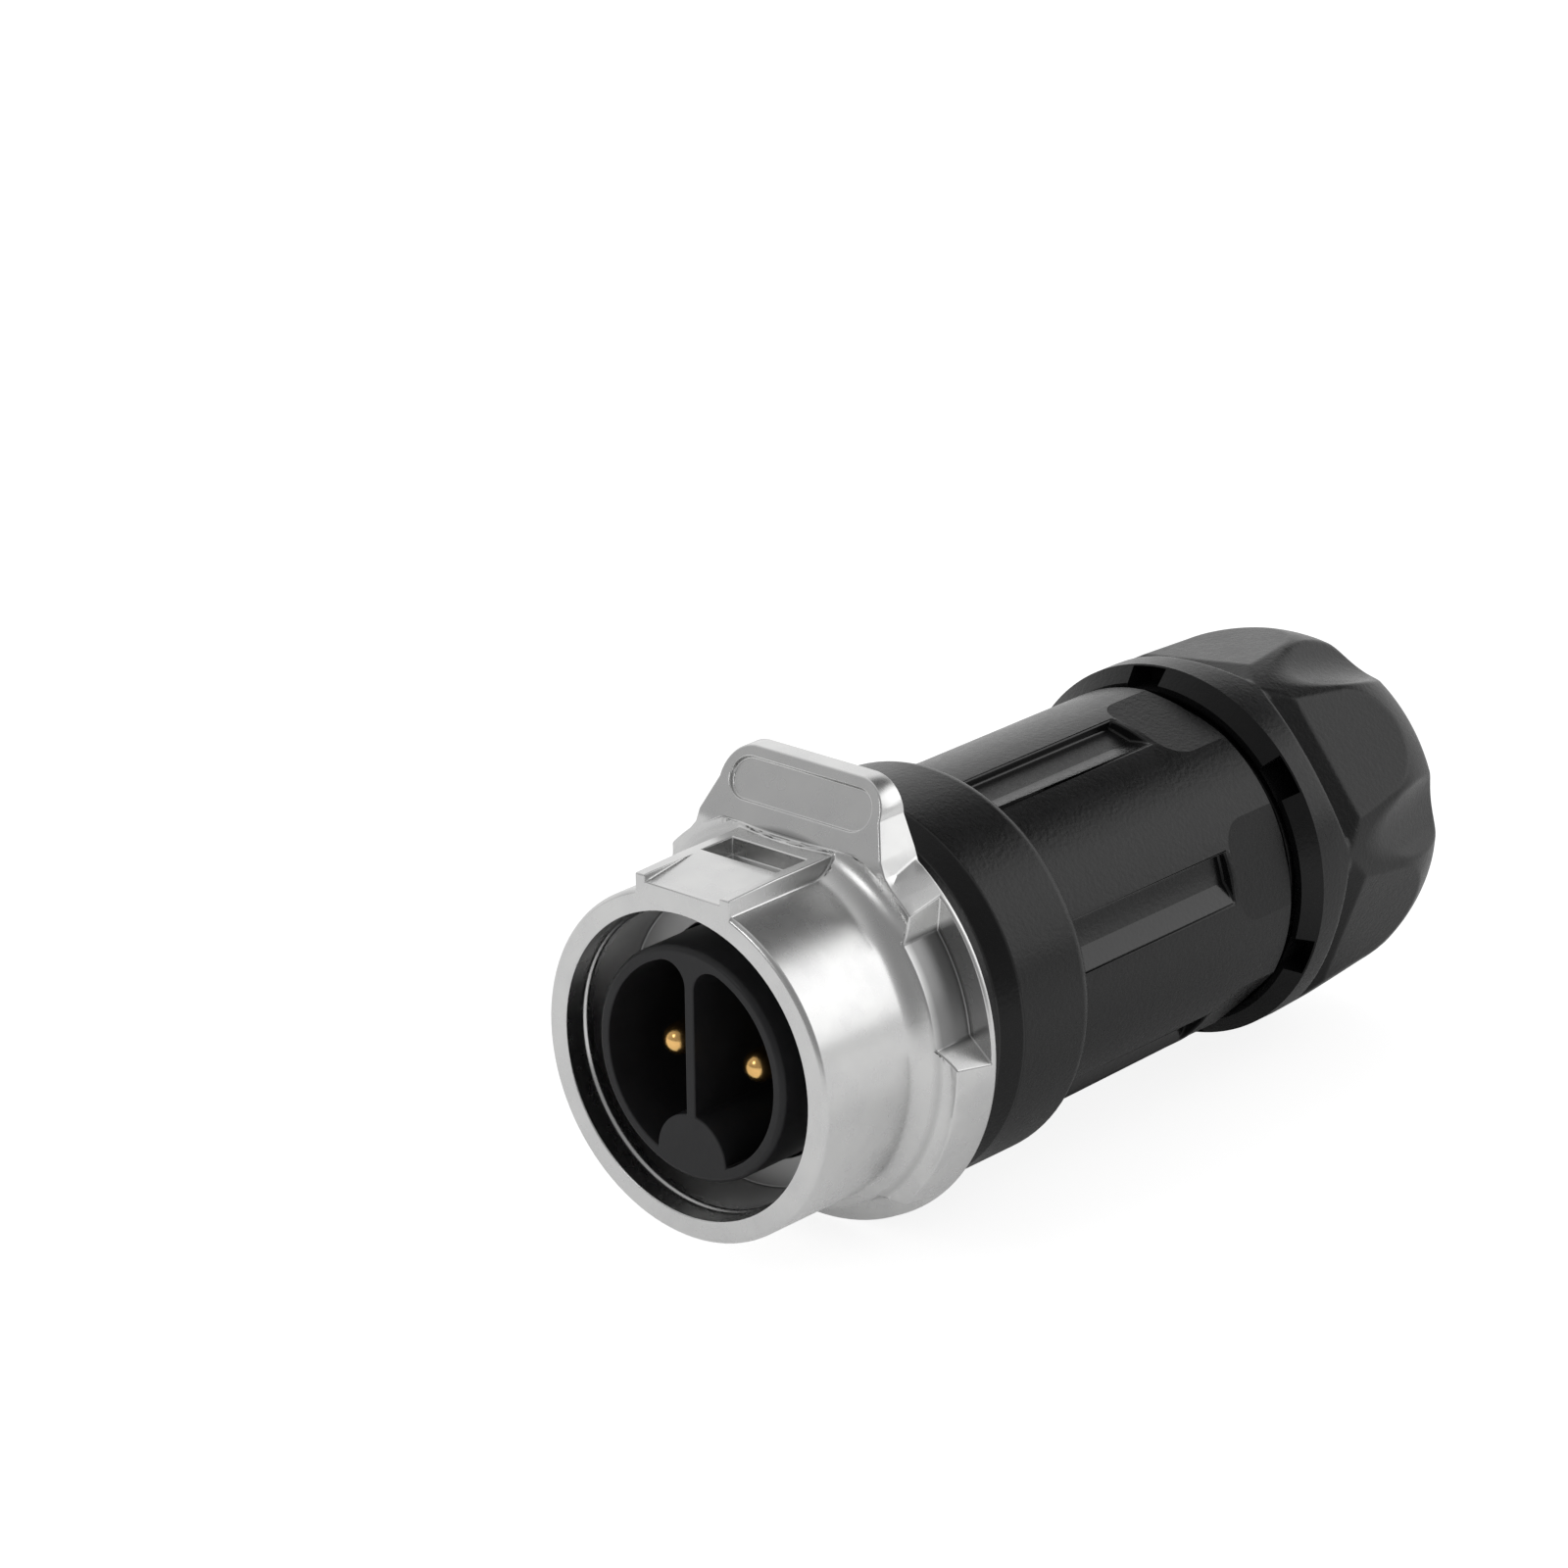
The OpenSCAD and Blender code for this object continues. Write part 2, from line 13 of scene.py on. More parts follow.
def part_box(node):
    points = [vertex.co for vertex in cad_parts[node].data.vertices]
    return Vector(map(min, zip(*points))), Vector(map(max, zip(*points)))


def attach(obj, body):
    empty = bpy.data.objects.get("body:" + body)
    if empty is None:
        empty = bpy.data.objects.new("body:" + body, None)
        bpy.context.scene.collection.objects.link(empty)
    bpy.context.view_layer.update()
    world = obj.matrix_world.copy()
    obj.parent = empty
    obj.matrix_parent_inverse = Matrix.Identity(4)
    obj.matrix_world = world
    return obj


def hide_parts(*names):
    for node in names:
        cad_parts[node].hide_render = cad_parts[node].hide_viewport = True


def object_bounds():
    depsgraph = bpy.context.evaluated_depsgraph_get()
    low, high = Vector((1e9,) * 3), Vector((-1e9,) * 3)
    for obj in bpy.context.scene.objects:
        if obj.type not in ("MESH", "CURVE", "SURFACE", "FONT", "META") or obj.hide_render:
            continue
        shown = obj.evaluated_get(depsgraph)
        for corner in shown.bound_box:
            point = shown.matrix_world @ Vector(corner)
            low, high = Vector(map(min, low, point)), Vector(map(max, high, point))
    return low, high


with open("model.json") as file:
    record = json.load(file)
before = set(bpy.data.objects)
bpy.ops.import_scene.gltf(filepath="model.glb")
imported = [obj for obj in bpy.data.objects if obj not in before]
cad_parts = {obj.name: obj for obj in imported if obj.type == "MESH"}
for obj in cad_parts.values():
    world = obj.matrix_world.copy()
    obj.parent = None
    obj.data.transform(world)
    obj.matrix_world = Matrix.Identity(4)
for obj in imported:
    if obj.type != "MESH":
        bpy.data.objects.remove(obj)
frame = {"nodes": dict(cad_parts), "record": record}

bl_info = {
    "name": "In-line cable socket",
    "version": (1, 0, 0),
    "blender": (4, 5, 0),
    "location": "View3D > Sidebar > Cable socket",
    "description": "Finishes and stage for a round waterproof cable socket",
    "category": "Object",
}

MM = 0.001
CAD_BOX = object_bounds()
NODES = frame["nodes"]

# Folds between faces: what counts as flat, as a crease to keep and as an edge to round
FLUSH = math.radians(0.5)
FAINT = math.radians(8)
CREASE = math.radians(15)
SHARP = math.radians(25)
NUT_CREASE = math.radians(35)

# Distances: vertices closer than WELD are one, and places closer than SLACK are the same
WELD = 0.002 * MM
SLACK = 0.01 * MM

# Where each softbox stands from the middle of the socket, how far off, and its two sides in metres
SIDE_SOFTBOX = ((0.72, -0.51, 0.43), 0.5, (0.36, 0.34))
FRONT_SOFTBOX = ((-0.85, 0.1, 0.5), 0.38, (0.08, 0.08))
BACK_SOFTBOX = ((0.55, 0.75, 0.36), 0.6, (0.5, 0.36))
FLOOR_HALF = 3.0
SENSOR_WIDTH = 36.0
NEAR_CLIP = 0.01

BODY_OF = {node: body for body, nodes in frame["record"]["behaviour"]["bodies"].items() for node in nodes}


def colour(label, description, default):
    """A colour that a user may change."""
    return FloatVectorProperty(name=label, description=description, default=default,
                               subtype="COLOR", size=3, min=0.0, max=1.0)


def length(label, description, millimetres):
    """A length that a user may change, written here in millimetres."""
    return FloatProperty(name=label, description=description, default=millimetres * MM,
                         subtype="DISTANCE", unit="LENGTH", min=0.0, precision=5)


def share(label, description, default):
    """A number from 0 to 1 that a user may change."""
    return FloatProperty(name=label, description=description, default=default,
                         subtype="FACTOR", min=0.0, max=1.0)


def brightness(label, description, default):
    """A lamp's brightness that a user may change; 1 is as bright as white paper."""
    return FloatProperty(name=label, description=description, default=default, min=0.0)


def direction(label, description, default):
    """A direction that a user may change."""
    return FloatVectorProperty(name=label, description=description, default=default,
                               subtype="DIRECTION", size=3)


def angle(label, description, degrees):
    """An angle that a user may change, written here in degrees."""
    return FloatProperty(name=label, description=description, default=math.radians(degrees),
                         subtype="ANGLE", unit="ROTATION")


class SocketFinish(bpy.types.PropertyGroup):
    """Colours and textures of the pieces."""

    zinc: colour("Zinc", "Colour of the plated zinc shell", (0.61, 0.61, 0.605))
    zinc_shade: colour("Zinc shade", "Colour of the shell's duller patches", (0.57, 0.57, 0.57))
    # Darker deep in the mouth: partly a duller casting, partly painted shade in that recess
    dull_zinc_mouth_shade: colour("Dull zinc", "Colour of the casting deep in the mouth", (0.50, 0.50, 0.50))
    # Painted shade: a dark colour on the collar notches' floors that stands in for the shade they show
    zinc_notch_shade: colour("Cast zinc", "Colour of the notches' unpolished floors", (0.24, 0.24, 0.24))
    zinc_roughness: share("Zinc roughness", "How satin the plating is", 0.27)
    notch_radius: length("Notch radius", "Distance of the collar notches' floors from the axis", 13.1)
    notch_start: length("Notch start", "Station where the notches' floors begin", 9.8)
    # From this station on, the mouth darkens: partly a duller casting, partly painted shade
    plate_depth: length("Plate depth", "How far into the mouth the plating is bright", 2.2)
    nylon: colour("Nylon", "Colour of the black nylon", (0.005, 0.005, 0.0052))
    nylon_roughness: share("Nylon roughness", "How matt the nylon is", 0.28)
    nylon_gloss: share("Nylon gloss", "Specular level of the nylon", 0.24)
    nylon_grain: length("Nylon grain", "Size of the grain left by the mould", 0.30)
    insulator: colour("Insulator", "Colour of the contact insert", (0.014, 0.014, 0.015))
    insulator_roughness: share("Insulator roughness", "How matt the contact insert is", 0.38)
    gold: colour("Gold", "Colour of the plated pins", (0.90, 0.55, 0.20))
    brass: colour("Brass", "Colour of the terminal screws", (0.72, 0.50, 0.20))
    steel: colour("Spring steel", "Colour of the insert's clip", (0.42, 0.42, 0.43))
    rubber: colour("Rubber", "Colour of the seals", (0.020, 0.020, 0.021))
    metal_edge: length("Metal edge", "Width by which the shell's sharp edges are rounded", 0.12)
    nylon_edge: length("Nylon edge", "Width by which the nylon's sharp edges are rounded", 0.18)
    grooves: IntProperty(name="Grooves", description="Number of grip grooves", default=6, min=1)
    groove_at: angle("Groove angle", "Angle of the first grip groove from the top", 14.4)
    groove_floor: length("Groove floor", "Distance of the grooves' floors from the axis", 11.7)
    groove_line: length("Groove line", "Distance from a groove's middle to where its slope begins", 0.3)
    groove_shift: length("Groove shift", "How far that line moves to widen the floor", 0.5)
    thumb_reach: length("Thumb reach", "How far in front of the nut the thumb flats begin", 7.2)
    thread_pitch: length("Thread pitch", "Pitch of the threads on the rear body", 1.5)
    thread_depth: length("Thread depth", "Depth of the threads on the rear body", 0.45)


class SocketNut(bpy.types.PropertyGroup):
    """Sizes of the gland nut. Stations are counted from its front."""

    flats: IntProperty(name="Flats", description="Number of flats round the nut", default=6, min=3)
    turn: angle("Turn", "Angle of the first flat from the top", -8.0)
    ring_radius: length("Ring radius", "Radius of the front ring", 13.6)
    ring_length: length("Ring length", "Length of the front ring", 2.9)
    ring_bevel: length("Ring bevel", "Size of the bevel on the front ring", 1.1)
    pocket_depth: length("Pocket depth", "Depth of the pockets in the ring's face", 2.7)
    pocket_wall: length("Pocket wall", "Wall between a pocket and the outside of the ring", 0.10)
    pocket_half: angle("Pocket half", "Half the angle that a pocket takes", 6.5)
    lobe_radius: length("Lobe radius", "Radius where the dome begins", 13.3)
    flat_radius: length("Flat radius", "Distance of the flats' front edge from the axis", 12.6)
    flat_tilt: angle("Flat tilt", "Slope by which the flats rise towards the rear", 1.0)
    flat_start: length("Flat start", "Station of the flats' front edge", 6.2)
    foot_depth: length("Foot depth", "How much lower than the flat its ramp begins", 0.6)
    ramp_length: length("Ramp length", "Length of the ramp in front of a flat", 1.8)
    dome_start: length("Dome start", "Station where the dome begins", 10.6)
    dome_radius: length("Dome radius", "Radius of the dome's outline", 13.5)
    rim_radius: length("Rim radius", "Radius of the rounding round the rear face", 2.8)
    valley_start: length("Valley start", "Station where the valleys begin", 7.9)
    valley_radius: length("Valley radius", "Radius of the valleys between the flats", 4.4)
    valley_slope: angle("Valley slope", "Slope of the valleys towards the rear", 14.5)
    bore_radius: length("Bore radius", "Radius of the bore for the neck's thread", 11.25)
    bore_mouth: length("Bore mouth", "Size of the bevel at the bore's mouth", 0.8)
    bore_end: length("Bore end", "Station where the bore ends", 8.4)
    seat_radius: length("Seat radius", "Radius of the seat behind the bore", 10.75)
    seat_end: length("Seat end", "Station where the seat ends and the squeezing cone begins", 9.85)
    cone_radius: length("Cone radius", "Radius of the squeezing cone's narrow end", 7.6)
    hole_radius: length("Hole radius", "Radius of the hole for the cable", 6.9)
    rear_wall: length("Rear wall", "Thickness of the wall round the hole", 2.4)
    crisp: length("Crisp blend", "How far the flats' edges blend", 0.05)
    soft: length("Soft blend", "How far the valleys and the ramps' feet blend", 0.30)


class SocketStage(bpy.types.PropertyGroup):
    """Camera, light and floor."""

    azimuth: angle("Azimuth", "Direction from which the camera looks", -48.32764)
    elevation: angle("Elevation", "Height of the camera above the horizon", 20.66925)
    roll: angle("Roll", "Turn of the camera about its line of sight", -0.73145)
    distance: length("Distance", "Distance of the camera from the mouth", 429.2014)
    aside: length("Aside", "How far the camera stands to the right", 6.49867)
    above: length("Above", "How far the camera stands up", 18.54302)
    lens: FloatProperty(name="Lens", description="Focal length for a sensor of 36 mm", default=150.612,
                        subtype="DISTANCE_CAMERA", min=1.0)
    bright_side: direction("Bright side", "Side of the studio that is white", (0.8, 0.6, 0.0))
    dim_level: share("Dim side", "Brightness of the side of the studio across from it", 0.35)
    card: direction("Card", "Where the dark card hangs that gives metal its contrast", (0.665, -0.01, 0.747))
    card_core: angle("Card core", "Angle from the card's middle up to which it is darkest", 8.0)
    card_edge: angle("Card edge", "Angle from the card's middle at which it has faded", 27.0)
    card_level: share("Card brightness", "Brightness of the card, where white is 1", 0.12)
    floor: share("Floor", "Part of the floor's white that no shadow darkens", 0.85)
    floor_gloss: share("Floor in gloss", "The same for the floor as gloss mirrors it", 0.32)
    key: brightness("Key", "Brightness of the softbox beside the barrel", 1.03)
    front: brightness("Front", "Brightness of the small softbox before the mouth", 4.6)
    shade_start: length("Shade start", "Station behind which the barrel shades the floor under it", 18.0)
    shade_width: length("Shade width", "How far from the axis that shade has faded", 40.0)
    back: brightness("Back", "Brightness of the softbox behind", 0.15)


class Wire:
    """One output of a node. Arithmetic on it adds Math nodes to its tree."""

    def __init__(self, tree, socket):
        self.tree = tree
        self.socket = socket

    def math(self, operation, *values):
        sockets = dict(enumerate(values))
        return self.tree.node("ShaderNodeMath", {"operation": operation}, sockets)

    def __add__(self, other):
        return self.math("ADD", self, other)

    def __radd__(self, other):
        return self.math("ADD", other, self)

    def __sub__(self, other):
        return self.math("SUBTRACT", self, other)

    def __rsub__(self, other):
        return self.math("SUBTRACT", other, self)

    def __mul__(self, other):
        return self.math("MULTIPLY", self, other)

    def __rmul__(self, other):
        return self.math("MULTIPLY", other, self)

    def __truediv__(self, other):
        return self.math("DIVIDE", self, other)

    def __rtruediv__(self, other):
        return self.math("DIVIDE", other, self)

    def __gt__(self, other):
        return self.math("GREATER_THAN", self, other)

    def __lt__(self, other):
        return self.math("LESS_THAN", self, other)


class Tree:
    """A node tree that is written as expressions."""

    def __init__(self, tree):
        self.tree = tree
        tree.nodes.clear()

    def node(self, kind, settings=None, sockets=None, out=0):
        """Adds a node, sets its settings first and then its sockets, and returns one of its outputs."""
        made = self.tree.nodes.new(kind)
        for key, value in (settings or {}).items():
            setattr(made, key, value)
        for key, value in (sockets or {}).items():
            if isinstance(value, Wire):
                self.tree.links.new(value.socket, made.inputs[key])
            else:
                made.inputs[key].default_value = value
        return Wire(self, made.outputs[out]) if made.outputs else made


def rgba(tint):
    return (*tint, 1.0)


class Finish(Tree):
    """A procedural material on Object coordinates, which it counts in millimetres."""

    def __init__(self, name):
        self.material = bpy.data.materials.new(name)
        self.material.use_nodes = True
        super().__init__(self.material.node_tree)
        place = self.node("ShaderNodeTexCoord", out=3)
        self.place = self.node("ShaderNodeVectorMath", {"operation": "SCALE"}, {0: place, "Scale": 1 / MM})

    def noise(self, grain, detail=2.0, squash=(1, 1, 1)):
        """Noise from 0 to 1 whose patches are about as many millimetres across as grain says."""
        place = self.node("ShaderNodeVectorMath", {"operation": "MULTIPLY"}, {0: self.place, 1: squash})
        return self.node("ShaderNodeTexNoise", None, {"Vector": place, "Scale": 1 / grain, "Detail": detail})

    def mix(self, factor, first, second):
        """A colour between two colours."""
        return self.node("ShaderNodeMix", {"data_type": "RGBA"}, {0: factor, 6: first, 7: second}, out=2)

    def vary(self, level, texture, spread):
        """A level that a texture moves up and down, by spread from end to end."""
        return level + (texture - 0.5) * spread

    def tones(self, factor, tint, gain):
        """A colour that varies between a tint and a lighter or darker one."""
        return self.mix(factor, rgba(tint), rgba([gain * part for part in tint]))

    def radius(self, y, z):
        """Distance from the connector's axis."""
        return self.node("ShaderNodeMath", {"operation": "SQRT"}, {0: y * y + z * z})

    def ramp(self, value, low, high):
        """0 below low, 1 above high and straight between."""
        return self.node("ShaderNodeMapRange", {"clamp": True},
                         {"Value": value, "From Min": low, "From Max": high})

    def axes(self):
        """The three coordinates in millimetres."""
        split = self.node("ShaderNodeSeparateXYZ", None, {0: self.place}).socket.node
        return [Wire(self, socket) for socket in split.outputs]

    def bump(self, height, depth):
        """A normal for a height from 0 to 1 that stands for depth in millimetres."""
        return self.node("ShaderNodeBump", None, {"Strength": 1.0, "Distance": depth * MM, "Height": height})

    def shade(self, **sockets):
        """Ends the material in a Principled shader."""
        values = {key.replace("_", " "): value for key, value in sockets.items()}
        surface = self.node("ShaderNodeBsdfPrincipled", None, values)
        self.node("ShaderNodeOutputMaterial", None, {"Surface": surface})
        return self.material


def zinc_finish(props):
    """Satin nickel plate on a zinc casting: patches, fine peel and polishing lines, with painted shade on
    the notches' floors and deep in the mouth, where the casting is also duller.
    """
    finish = Finish("plated_zinc")
    patches = finish.noise(grain=2.6, detail=3.0)
    peel = finish.noise(grain=1.1, detail=1.0)
    lines = finish.noise(grain=0.22, detail=3.0, squash=(0.12, 1.0, 1.0))
    x, y, z = finish.axes()
    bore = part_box("contact_insert")[1].y / MM
    around = finish.radius(y, z)
    bright, dull = props.plate_depth / MM, 2.5 * props.plate_depth / MM
    # Deep in the mouth: painted shade there, and a duller, rougher casting
    inside = (around < bore) * finish.ramp(x, bright, dull)
    start, edge = props.notch_start / MM, (props.notch_radius + props.metal_edge) / MM
    fade_along, fade_out = 1.0, 0.3
    # Painted shade on the notches' floors: a dark colour there, and a little more roughness
    floors = finish.ramp(x, start, start + fade_along) * (1.0 - finish.ramp(around, edge, edge + fade_out))
    plate = finish.mix(finish.ramp(patches, 0.35, 0.7), rgba(props.zinc), rgba(props.zinc_shade))
    polished = finish.mix(floors, plate, rgba(props.zinc_notch_shade))
    tint = finish.mix(inside, polished, rgba(props.dull_zinc_mouth_shade))
    height = peel * 0.8 + lines * 0.2
    satin = finish.vary(props.zinc_roughness, patches, spread=0.05)
    satin = finish.vary(satin, peel, spread=0.05)
    duller_inside, duller_floors = 0.2, 0.08
    return finish.shade(Base_Color=tint, Metallic=1.0,
                        Roughness=satin + inside * duller_inside + floors * duller_floors,
                        Normal=finish.bump(height, depth=0.001))


def nylon_finish(props, name="black_nylon", matt=1.0, gloss=1.0):
    """Black nylon as it comes from a fine-grained mould, or from a polished one."""
    finish = Finish(name)
    grain = finish.noise(grain=props.nylon_grain / MM)
    coarse = finish.noise(grain=3.2 * props.nylon_grain / MM, detail=1.0)
    patches = finish.noise(grain=3.0, detail=3.0)
    speck = finish.noise(grain=0.45)
    roughness = finish.vary(props.nylon_roughness * matt, patches, spread=0.10)
    roughness = finish.vary(roughness, speck, spread=0.12)
    return finish.shade(Base_Color=finish.tones(finish.ramp(patches, 0.3, 0.75), props.nylon, 1.5),
                        Roughness=roughness, Specular_IOR_Level=props.nylon_gloss * gloss,
                        Normal=finish.bump(grain * 0.75 + coarse * 0.25, depth=0.026 * matt))


def insulator_finish(props):
    """Dark moulded insulator, smoother than the nylon."""
    finish = Finish("insulator")
    grain = finish.noise(grain=0.22)
    patches = finish.noise(grain=2.2)
    return finish.shade(Base_Color=finish.tones(patches, props.insulator, 1.8),
                        Roughness=finish.vary(props.insulator_roughness, patches, spread=0.12),
                        Specular_IOR_Level=props.nylon_gloss, Normal=finish.bump(grain, depth=0.008))


def turned_finish(name, tint, roughness, ring):
    """Turned metal: fine rings along the axis and a slight change of colour."""
    finish = Finish(name)
    x = finish.axes()[0]
    tool = finish.node("ShaderNodeMath", {"operation": "PINGPONG"}, {0: x / ring, 1: 0.5})
    patches = finish.noise(grain=0.9, detail=3.0)
    return finish.shade(Base_Color=finish.tones(finish.ramp(patches, 0.3, 0.75), tint, 0.8), Metallic=1.0,
                        Roughness=finish.vary(roughness, patches, spread=0.1),
                        Normal=finish.bump(tool, depth=0.002))


def steel_finish(props):
    """Spring steel, drawn and lightly oiled."""
    finish = Finish("spring_steel")
    streaks = finish.noise(grain=0.12, detail=3.0, squash=(0.1, 1.0, 1.0))
    return finish.shade(Base_Color=finish.tones(streaks, props.steel, 0.8), Metallic=1.0,
                        Roughness=finish.vary(0.325, streaks, spread=0.15),
                        Normal=finish.bump(streaks, depth=0.003))


def rubber_finish(props):
    """Matt sealing rubber with a dusty bloom."""
    finish = Finish("seal_rubber")
    bloom = finish.noise(grain=1.4, detail=4.0)
    skin = finish.noise(grain=0.12)
    return finish.shade(Base_Color=finish.tones(finish.ramp(bloom, 0.4, 0.8), props.rubber, 1.9),
                        Roughness=finish.vary(0.68, bloom, spread=0.2),
                        Normal=finish.bump(skin, depth=0.01))


def dress(node, material):
    """Gives a CAD node its finish."""
    slots = NODES[node].data.materials
    slots.clear()
    slots.append(material)


def add_piece(name, bm, node, material):
    """Adds a smooth piece that moves with a node's body and takes its slot."""
    for face in bm.faces:
        face.smooth = True
    mesh = bpy.data.meshes.new(name)
    bm.to_mesh(mesh)
    bm.free()
    mesh.materials.append(material)
    piece = bpy.data.objects.new(name, mesh)
    bpy.context.scene.collection.objects.link(piece)
    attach(piece, BODY_OF[node])
    return piece


def is_groove_wall(face, low, high):
    """True on the walls and slopes of the barrel's grooves between two stations."""
    end_on, square_on = 0.3, 0.975
    middle = face.calc_center_median()
    outward = Vector((0.0, *middle.yz)).normalized()
    return (low < middle.x < high and abs(face.normal.x) < end_on
            and face.normal.dot(outward) < square_on)


def soften(node, material, radius, reshape=None, walls=(), crisp_from=math.inf):
    """Shows a node as a copy whose sharp edges are rounded, after reshape has moved its vertices.

    walls holds a finish for the grooves' walls and the stations between which they lie.
    Behind the station crisp_from, edges aren't rounded."""
    bm = bmesh.new()
    bm.from_mesh(NODES[node].data)
    bmesh.ops.remove_doubles(bm, verts=bm.verts, dist=WELD)
    if reshape:
        reshape(bm)
    skin = BVHTree.FromBMesh(bm)
    bmesh.ops.dissolve_limit(bm, angle_limit=FLUSH, verts=bm.verts, edges=bm.edges)
    sharp = []
    for edge in bm.edges:
        fold = edge.calc_face_angle(0.0)
        crisp = max(vert.co.x for vert in edge.verts) > crisp_from
        if fold > SHARP and not crisp:
            sharp.append(edge)
        elif fold > (FAINT if crisp else CREASE):
            edge.smooth = False
    bmesh.ops.bevel(bm, geom=sharp, offset=radius, offset_type="OFFSET", affect="EDGES", segments=3,
                    profile=0.5, material=-1, clamp_overlap=False)
    for vert in bm.verts:
        place, _, _, gap = skin.find_nearest(vert.co)
        if gap > radius:
            vert.co = place
    if walls:
        bm.normal_update()
        for face in bm.faces:
            face.material_index = int(is_groove_wall(face, *walls[1:]))
    piece = add_piece("soft_" + node, bm, node, material)
    if walls:
        piece.data.materials.append(walls[0])
    piece.modifiers.new("face_normals", "WEIGHTED_NORMAL").keep_sharp = True
    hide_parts(node)
    return piece


def smooth_min(first, second, blend):
    """The smaller of two numbers, with the crease between them rounded."""
    near = max(blend - abs(first - second), 0.0) / blend
    return min(first, second) - near * near * blend / 4


def arc(middle, radius, start, end, steps):
    """Points of an arc as station and radius, between two angles from the axis."""
    turns = [start + (end - start) * step / steps for step in range(steps + 1)]
    return [middle + radius * Vector((math.cos(turn), math.sin(turn))) for turn in turns]


